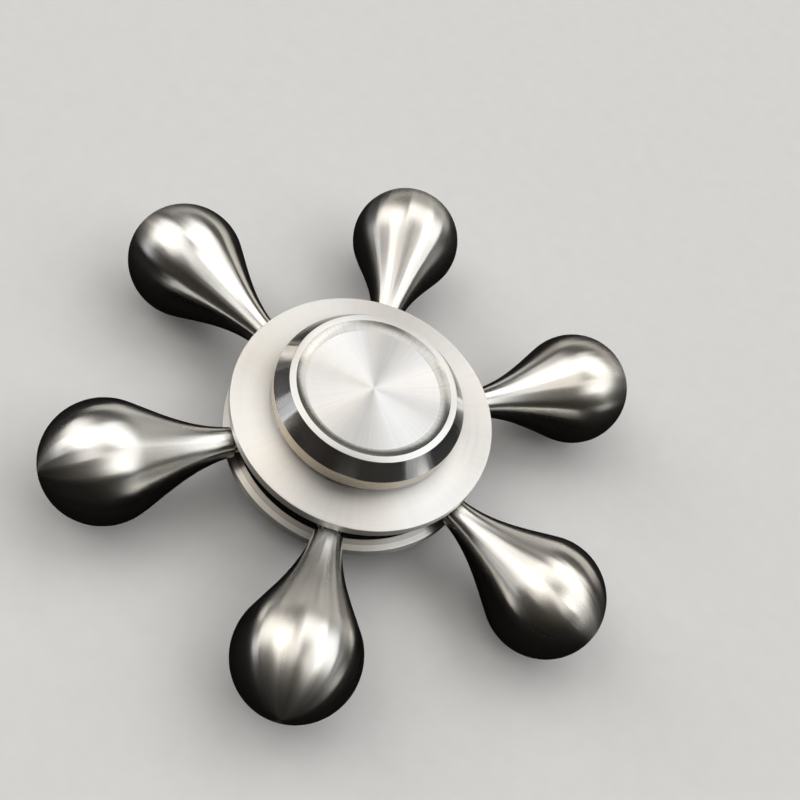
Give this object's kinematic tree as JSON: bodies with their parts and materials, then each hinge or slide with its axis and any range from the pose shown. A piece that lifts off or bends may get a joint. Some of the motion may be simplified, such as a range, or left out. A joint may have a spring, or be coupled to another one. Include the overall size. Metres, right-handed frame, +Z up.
{
  "type": "fidget spinner",
  "caption": "Palm-size metal fidget spinner: teardrop arms radiate from a flat round hub that spins on a ball bearing between dished finger caps.",
  "frame": {"origin": "on the spin axis, at the height of the surface that the lower cap's rim rests on", "axes": "+Z up along the spin axis; +X along arm_1; the arms follow anticlockwise from above"},
  "size_m": [0.0702, 0.0626, 0.0158],
  "materials": {
    "plate_steel": "satin, faced on a lathe, fine circular grain",
    "core_steel": "fine turned finish",
    "arm_steel": "satin polished, faint turning marks round each drop",
    "cap_steel": "spun dished face, mirror polished chamfer and rim",
    "race_steel": "ground and polished",
    "ball_steel": "mirror polished",
    "cage_steel": "stamped, satin",
    "shield_steel": "stamped, satin",
    "spring_steel": "dark spring wire"
  },
  "bodies": {
    "finger_caps": {"upper_cap": "cap_steel", "lower_cap": "cap_steel", "bearing_inner_ring": "race_steel"},
    "rotor": {"upper_plate": "plate_steel", "lower_plate": "plate_steel", "hub_core": "core_steel", "arm_1": "arm_steel", "arm_2": "arm_steel", "arm_3": "arm_steel", "arm_4": "arm_steel", "arm_5": "arm_steel", "arm_6": "arm_steel", "bearing_outer_ring": "race_steel", "bearing_shield_upper": "shield_steel", "bearing_shield_lower": "shield_steel", "shield_snap_ring_upper": "spring_steel", "shield_snap_ring_lower": "spring_steel"},
    "ball_cage": {"bearing_cage": "cage_steel", "bearing_balls": "ball_steel"}
  },
  "joints": [
    {"name": "rotor_spin", "type": "hinge", "parent": "finger_caps", "child": "rotor", "pos_m": [0, 0, 0.0079], "axis": [0, 0, 1], "continuous": true},
    {"name": "cage_spin", "type": "hinge", "parent": "finger_caps", "child": "ball_cage", "pos_m": [0, 0, 0.0079], "axis": [0, 0, 1], "continuous": true}
  ],
  "couplings": [
    {"joint": "cage_spin", "follows": "rotor_spin", "ratio": 0.6041}
  ]
}
